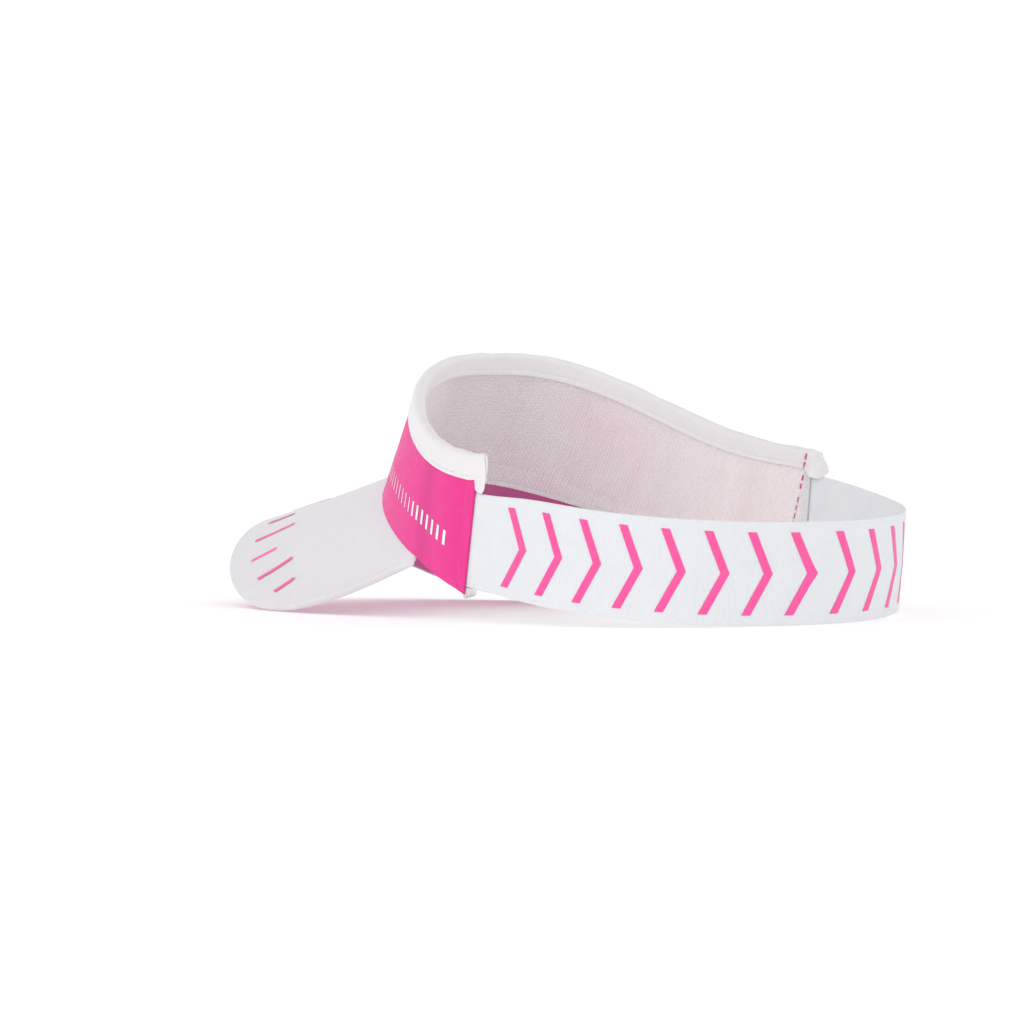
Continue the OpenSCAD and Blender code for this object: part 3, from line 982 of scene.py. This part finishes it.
def on_binding(a, q, lift):
    """The binding: q along its section, lift outward from the cloth's middle."""
    a, q, lift = np.broadcast_arrays(a, q, lift)
    share = pinched(a)
    half = mix(FOLD_HALF, TAIL_HALF, share)
    spare = (ARC - math.pi * half) / 2
    turn = np.degrees(np.clip((q - LEG_OUT - spare) / half, 0, math.pi))
    out_leg = np.maximum(LEG_OUT + spare - q, 0)
    in_leg = np.maximum(q - LEG_OUT - spare - math.pi * half, 0)
    r = half - BINDING_T / 2 + lift
    past = np.maximum(np.abs(a) - SEAM, 0)
    past_share = past / (BINDING_REACH - SEAM)
    from_crest = q - LEG_OUT - ARC / 2
    right = a < 0
    rounded = np.where(right, 0.55 * smooth((LEG_OUT + 2 - q) / 4),
                       0.25 * np.clip(1 - q / TAIL_CORNER, 0, 1) ** 2)
    kept = np.where(right, RIGHT_CREST, TAIL_CREST)
    crest = (1 - kept) * hill(from_crest, np.where(right, 5.5, 3.2))
    flare = right * RIGHT_FLARE * smooth(from_crest / 6)
    b = np.sign(a) * (np.abs(a) - past * (rounded + crest - flare))
    loose = smooth((np.abs(a) - SEAM + SEAM_STITCH_IN) / 1.6)
    in_leg *= 1 - INNER_NARROW * smooth((np.abs(a) - 66) / 26) * (1 - loose)
    drop = half + out_leg + in_leg
    drop += in_tail(a) * (a > 0) * TAIL_DROP * out_leg / (LEG_OUT + spare)
    slant = (TAIL_LIFT_IN * past_share - TAIL_DROP_IN * loose) * in_leg / LEG_IN
    slant = slant + right * TAIL_LIFT_OUT * past_share * out_leg / LEG_OUT
    low = RIGHT_DROP * smooth((-a - SEAM + 1) / 3)
    rise = TAIL_RISE * smooth((np.abs(a) - SEAM + 2.4) / 3.2)
    z = top_z(b) - drop + r * sind(turn) + slant - low + rise
    spread = right * TAIL_SPREAD * share * smooth(in_leg / 5)
    middle = mix(FOLD_MID, FOLD_OUT - TAIL_HALF, share) - spread
    return on_panel(b, z, middle + r * cosd(turn) + relief(b, z) * (turn < 90))


def make_binding():
    near = NEAR_EDGE + [1.2, 2.0, 3.0, 3.6, 3.9, 4.15, 4.4, 4.65, 4.9, 5.3, 6, 7]
    a = stations(-BINDING_REACH, BINDING_REACH, 1.1, near)
    arc_end = LEG_OUT + ARC
    q = np.concatenate([
        NEAR_EDGE, [0.9, 1.1, 1.25, 1.4, 1.55, 1.7, 2.0, 2.6, 3.4, 4.3, 5.2],
        np.linspace(LEG_OUT - 0.6, arc_end + 0.6, 16),
        SECTION - np.array([4.4, 3.4, 2.7, 2.3, 2.1, 1.9, 1.7, 1.5, 1.2, 0.7, 0.3, 0.15, 0.05, 0]),
    ])[None]
    run = run_at(a)
    from_in = SECTION - q
    on = 1 - in_tail(a)
    groove = 0.03 * hill(q - BINDING_STITCH_OUT, 0.35) * on
    hem_in = 0.2 * smooth((BINDING_STITCH_IN - from_in) / 0.5 + 0.5) * on
    groove_in = 0.15 * hill(from_in - BINDING_STITCH_IN, 0.3) * on
    pull = 0.07 * waves(run, q, 5, 31) * (hill(q - 2, 4) + hill(from_in - 2, 4))
    soft = 0.22 * waves(run, q * 0.6, 17, 33) * hill(q - LEG_OUT - ARC / 2, 5)
    flat = 1 - pinched(a)
    out = BINDING_T / 2 + hem_in - groove - groove_in + pull + soft * flat
    into = -BINDING_T / 2 + np.maximum(soft, 0) * 0.5 * flat
    return sheet("top_binding_cloth", "binding_satin", "top_binding", on_binding, a, q, out,
                 into, run, q)


RING_PITCH = 3.0  # of the stitches that run round the ring
SEAM_PITCH = 2.9  # and of those down the side seams
THREAD_R = 0.16


def stitch_paths(place, starts, ends):
    """Stitches from starts to ends, as arched threads whose ends go down into the cloth."""
    t = np.array([0, 0.12, 0.5, 0.88, 1])
    lift = np.array([-0.28, THREAD_R * 0.7, THREAD_R, THREAD_R * 0.7, -0.28])
    spots = [mix(p[:, None], q[:, None], t[None]) for p, q in zip(starts, ends)]
    return place(*spots, np.broadcast_to(lift, spots[0].shape))


def ring_stitches(length, place, height):
    """A row of stitches from one side seam to the other, at height(a)."""
    run = np.arange(run_at(-SEAM + 0.5), run_at(SEAM - 0.5) - length, RING_PITCH)
    p, q = angle_at(run), angle_at(run + length)
    return tube_parts(stitch_paths(place, (p, height(p)), (q, height(q))), THREAD_R)


def make_binding_stitch():
    def outside(a, q, lift):
        return on_binding(a, q, BINDING_T / 2 - 0.19 + lift)

    rows = [ring_stitches(1.9, outside, lambda a, q=q: q + 0 * a)
            for q in (BINDING_STITCH_OUT, SECTION - BINDING_STITCH_IN)]
    return piece("binding_stitch_thread", "white_thread", "binding_stitch", *joined(rows))


def make_joint_stitch():
    def outside(a, z, lift):
        return panel_surface(a, z, PANEL_FACE - 0.24 + lift)

    row = ring_stitches(2.0, outside, lambda a: bottom_z(a) + STITCH_LINE)
    return piece("brim_joint_thread", "pink_thread", "brim_joint_stitch", *row)


def make_seam_stitch(side, hand):
    """The side seam's topstitch: small stitches outside, and its lower thread inside."""
    a = side * (SEAM - SEAM_STITCH)

    def outside(b, z, lift):
        return on_panel(b, z, PANEL_FACE - 0.1 + lift)

    def inside(b, z, lift):
        return on_panel(b, z, sweat_face(b, z) - 0.12 - lift)

    def over_binding(b, z, lift):
        return on_panel(b, z, FOLD_IN - 0.05 - lift)

    z = np.arange(0.5, TOP_SIDE - BINDING_OUT - 2.4, SEAM_PITCH)
    parts = [tube_parts(stitch_paths(outside, (a + 0 * z, z), (a + 0 * z, z + 2.0)), THREAD_R)]
    under = TOP_SIDE - BINDING_IN
    for place, z, radius in ((inside, np.arange(1, under - 10, SEAM_PITCH), 0.2),
                             (inside, under - np.array([6.2, 3.1]), 0.34),
                             (over_binding, under + np.array([1.6, 4.6]), 0.36)):
        ends = [(side * stitch_in(h), h) for h in (z, z + 2.1)]
        parts.append(tube_parts(stitch_paths(place, *ends), radius))
    return piece(f"{hand}_seam_thread", "pink_thread", f"{hand}_seam_stitch", *joined(parts))


def tail_low(a):
    """The seam tail's lower edge: a small corner of cloth that slants up from the panel's end."""
    return BOTTOM_SIDE - 0.9 + 0.62 * np.maximum(a - SEAM, 0)


def make_tail(side, hand):
    """The side seam's trimmed end below the elastic: overlocked cloth with loose loops."""
    first, last = SEAM - 0.6, SEAM + 2.5
    a = stations(first, last, 0.4)
    low = tail_low(a) + 0.2 * waves(run_at(a), 0, 2.4, 41)
    z = heights(low, BAND_RISE - 0.3 + 0 * a, 6)
    cloth = sheet_parts(lambda u, v, w: on_panel(side * u, v, w), a, z, CORE_OUT - 0.1,
                        CORE_IN + 0.1, run_at(a), z)
    middle = (CORE_OUT + CORE_IN) / 2
    half = (CORE_OUT - CORE_IN) / 2 + 0.05

    def edge(share, inward, face):
        at_a = mix(first, last, np.clip(share, 0, 1))
        return on_panel(side * at_a, tail_low(at_a) - 0.15 + inward, middle + face * half)

    loops = tube_parts(overlock_paths(11, edge, 1.5, 0.6), 0.2)
    return piece(f"{hand}_seam_tail", "white_thread", f"{hand}_seam_overlock",
                 *joined([cloth, loops]))


# --- the brim ---

RIM_SPLIT = 80  # degrees round the rim at which the two covers meet
RIM_REACH = 0.998  # share of the rim's half that has a hem
RIM_UNDER = 0.6  # how far the hem goes in under the rim
UNDER_PANEL = -0.012  # how far the top cover goes in under the panel


def brim_wrinkle(s, v):
    """Fine puckers where the cover is gathered into the panel near the brim's corners."""
    near_corner = smooth((np.abs(s) - 0.72) / 0.2)
    root = hill(v, 0.16)
    lines = waves(s * 90, v * 12, 5.5, 51)
    rise = smooth(v / 0.03)
    return rise * (0.2 * near_corner * root * np.maximum(lines, -0.4)
                   + 0.05 * hill(v, 0.1) * waves(s * 90, v * 9, 6, 52))


def cover_place(s, v, down):
    """The brim up to v = 1, and then round its rim: v past 1 is the turn in quarter circles."""
    s, v, down = np.broadcast_arrays(s, v, down)
    turn = 90 * np.maximum(v - 1, 0)
    flat = on_brim(s, np.minimum(v, 1), down)
    middle = BRIM_T / 2
    r_down, r_out = middle - down, EDGE_T - down * (EDGE_T / middle)
    curled = on_rim(s, middle - r_down * cosd(turn), r_out * sind(turn))
    return np.where((v > 1)[..., None], curled, flat)


def make_top_cover():
    s = np.linspace(-1, 1, 241)[:, None]
    inner = 1 - np.linspace(1, 0, 46) ** 1.25
    v = np.concatenate([[UNDER_PANEL], inner, 1 + np.linspace(0.12, RIM_SPLIT / 90, 8)])[None]
    plan = on_brim(s, np.minimum(v, 1), 0)
    puff = 0.12 * waves(plan[..., 0], plan[..., 1], 40, 55)
    puff *= smooth(v / 0.3) * smooth((1 - v) / 0.2)
    lift = brim_wrinkle(s, v) * (v <= 1) + puff
    return sheet("brim_top_satin", "brim_satin", "brim_top_cover", cover_place, s, v,
                 0.5, -lift, plan[..., 0], plan[..., 1])


def make_board_plate():
    """The flexible plate inside the brim, cut back from the covers' seams all round."""
    s = np.linspace(-0.975, 0.975, 161)[:, None]
    v = np.linspace(0.02, 0.975, 40)[None]
    plan = on_brim(s, v, 0)
    return sheet("brim_board_plate", "brim_board", "brim_board", on_brim, s, v, BRIM_T - 0.7,
                 0.7, plan[..., 0], plan[..., 1])


def make_under_cover():
    s = np.linspace(-0.996, 0.996, 181)[:, None]
    v = (1 - np.linspace(1, 0, 34) ** 1.2)[None]
    plan = on_brim(s, v, 0)
    lift = 0.15 * waves(plan[..., 0], plan[..., 1], 36, 57)
    lift *= smooth(v / 0.2) * smooth((1 - v) / 0.2)
    low = BRIM_T - 0.1 - np.abs(lift)
    return sheet("brim_under_satin", "brim_lining", "brim_under_cover", on_brim, s, v, low,
                 low - 0.45, plan[..., 0], plan[..., 1])


def make_rim():
    """The folded edge below the rim: the top cover's hem, turned under and sewn."""
    s = (RIM_REACH * np.linspace(-1, 1, 301))[:, None]
    turn = np.append(np.linspace(RIM_SPLIT - 18, 180, 12), [195, 210])[None]
    middle = BRIM_T / 2

    def place(u, t, lift):
        """Round the rim to 180 degrees, and then inward along its underside."""
        round_it = np.minimum(t, 180)
        out = (EDGE_T + lift) * sind(round_it) - RIM_UNDER * np.maximum(t - 180, 0) / 30
        return on_rim(u, middle - (middle + lift) * cosd(round_it), out)

    run = BRIM_HALF_W * 2.6 * s
    pull = 0.05 * waves(run, turn / 40, 6, 61)
    return sheet("brim_edge_hem", "brim_satin", "brim_edge_seam", place, s, turn, pull,
                 -0.35, run, turn / 30)


# --- the elastic ---

ELASTIC_RIB = 0.05
SELVEDGE = 1.15


def elastic_face(a, h):
    """How far the elastic's face stands proud: ribs, and a groove beside each selvedge."""
    edge = np.minimum(h, BAND_W - h)
    rib = ELASTIC_RIB * np.cos(2 * math.pi * run_at(a) / ELASTIC_PITCH)
    return rib * smooth(edge / 1.5) - 0.12 * hill(edge - SELVEDGE, 0.25)


def make_elastic_band():
    half = run_at(180)
    r0 = run_at(SEAM - TUCK)
    r1 = 2 * half - r0
    run = np.linspace(r0, r1, int((r1 - r0) / ELASTIC_PITCH) * 4 + 1)
    a = np.where(run <= half, angle_at(run), 360 - angle_at(2 * half - run))[:, None]
    near = [0, 0.06, 0.18, 0.4, 0.7, 0.95, 1.15, 1.35, 1.6, 2.2]
    h = heights(0 * a, BAND_W + 0 * a, 10, near, near)
    face = elastic_face(np.where(a > 180, 360 - a, a), h)
    return sheet("elastic_webbing", "elastic", "elastic_band",
                 lambda u, v, w: on_band(u, v, -w), a, h, face, -BAND_T - face * 0.5,
                 run[:, None], h, stretches=True)


# --- printed marks ---

PANEL_MARKS = 68
PANEL_MARKS_STEP = 2.6
PANEL_MARKS_BOLD = 69  # degrees past which the panel's marks are bold
BRIM_MARKS = 12
BAND_MARKS = 16


def make_marks(name, slot, node, marks, place, uv, rows, columns, stretches=False):
    """Thin film with crisp edges. Each mark is (middle, width, bend, low, high): a bar, or a
    chevron where bend isn't 0."""
    t = np.linspace(0, 1, rows + 1)[None]
    parts = []
    for middle, width, bend, low, high in marks:
        u = np.linspace(-0.5, 0.5, columns + 1)[:, None] * width
        across = middle + u + bend * (1 - np.abs(2 * t - 1))
        up = mix(low, high, t)
        parts.append(sheet_parts(place, across, up, FILM_T, 0.02, *uv(across, up)))
    thing = piece(name, slot, node, *joined(parts), stretches)
    thing.data.shade_flat()
    return thing


def make_panel_marks():
    places = (np.arange(PANEL_MARKS) - (PANEL_MARKS - 1) / 2) * PANEL_MARKS_STEP
    marks = [(s, 0.9 if abs(s) > PANEL_MARKS_BOLD else 0.45, 0, 12, 17) for s in places]
    return make_marks(
        "panel_marks", "white_print", "panel_print", marks,
        lambda a, up, lift: panel_surface(a, bottom_z(a) + up, PANEL_FACE + 0.05 + lift),
        lambda a, up: (run_at(a), up), 4, 2)


def make_brim_marks():
    places = mix(-0.62, 0.62, np.arange(BRIM_MARKS) / (BRIM_MARKS - 1))
    marks = [(s, 0.014, 0, 0.7 if i % 2 else 0.62, 0.86) for i, s in enumerate(places)]
    return make_marks("brim_marks", "pink_print", "brim_print", marks,
                      lambda s, v, lift: on_brim(s, v, -lift - 0.12),
                      lambda s, v: (s * 90, v * 80), 10, 2)


def make_band_marks():
    first = SEAM + 6
    places = first + (360 - 2 * first) * (np.arange(BAND_MARKS) + 0.5) / BAND_MARKS
    marks = [(s, 2.1, 4.5, 3.5, 31.5) for s in places]
    return make_marks("band_marks", "pink_print", "band_print", marks,
                      lambda a, h, lift: on_band(a, h, -lift - 0.05),
                      lambda a, h: (run_at(180) * a / 180, h), 16, 4, True)


front_panel = make_front_panel()
stiffener = make_stiffener()
allowance_satin, allowance_lining = make_allowance()
sweatband = make_sweatband()
make_overlock()
binding = make_binding()
binding_stitch = make_binding_stitch()
joint_stitch = make_joint_stitch()
seams = [make(side, hand) for make in (make_seam_stitch, make_tail)
         for side, hand in ((1, "left"), (-1, "right"))]
board = make_board_plate()
top_cover = make_top_cover()
under_cover = make_under_cover()
rim = make_rim()
elastic_band = make_elastic_band()
panel_marks = make_panel_marks()
brim_marks = make_brim_marks()
band_marks = make_band_marks()

# --- studio ---

FLOOR_R = 4.0
COVE_R = 2.0
WALL_H = 6.0
STUDIO_SIDES = 96
PAPER_GLOW = 0.24
SKY = 0.58


def make_studio():
    """A pale floor that curves up into walls all round."""
    turn = np.linspace(0, math.pi / 2, 13)
    cove = np.stack([FLOOR_R + COVE_R * np.sin(turn), COVE_R * (1 - np.cos(turn))], -1)
    r, z = np.concatenate([[(FLOOR_R / 2, 0)], cove, [(FLOOR_R + COVE_R, WALL_H)]]).T[..., None]
    around = np.arange(STUDIO_SIDES) * 2 * math.pi / STUDIO_SIDES
    points = np.stack([r * np.cos(around), r * np.sin(around), z + 0 * around], -1)
    index = np.arange(r.size * STUDIO_SIDES).reshape(-1, STUDIO_SIDES)
    after = np.roll(index, -1, axis=1)
    walls = np.stack([after[:-1], index[:-1], index[1:], after[1:]], -1)
    mesh = bpy.data.meshes.new("studio")
    mesh.from_pydata(points.reshape(-1, 3).tolist(), [],
                     [index[0].tolist()] + walls.reshape(-1, 4).tolist())
    mesh.shade_smooth()
    s = Surface("studio_paper", 0.9, 0.0, 0.2)
    s.paint(s.blend(s.noise(900.0, 2.0), "F7F7F8", "FBFBFB"))
    s.shader.inputs["Emission Strength"].default_value = PAPER_GLOW
    mesh.materials.append(s.material)
    added("studio", mesh)


def soft_light(name, azimuth, elevation, distance, size, power_w):
    """A square softbox that faces the visor."""
    back = toward(azimuth, elevation)
    data = bpy.data.lights.new(name, "AREA")
    data.shape = "SQUARE"
    data.size = size
    data.energy = power_w
    light = added(name, data)
    light.location = back * distance
    light.rotation_mode = "QUATERNION"
    light.rotation_quaternion = back.to_track_quat("Z", "Y")


def make_light():
    world = bpy.data.worlds.new("studio_light")
    world.use_nodes = True
    sky = world.node_tree.nodes["Background"].inputs
    sky["Color"].default_value = (1, 1, 1, 1)
    sky["Strength"].default_value = SKY
    bpy.context.scene.world = world
    soft_light("key", 98, 36, 2.6, 1.6, 7.5)
    soft_light("fill", 172, 25, 3.0, 2.0, 2)
    bpy.context.scene.view_settings.view_transform = "Standard"


make_studio()
make_light()
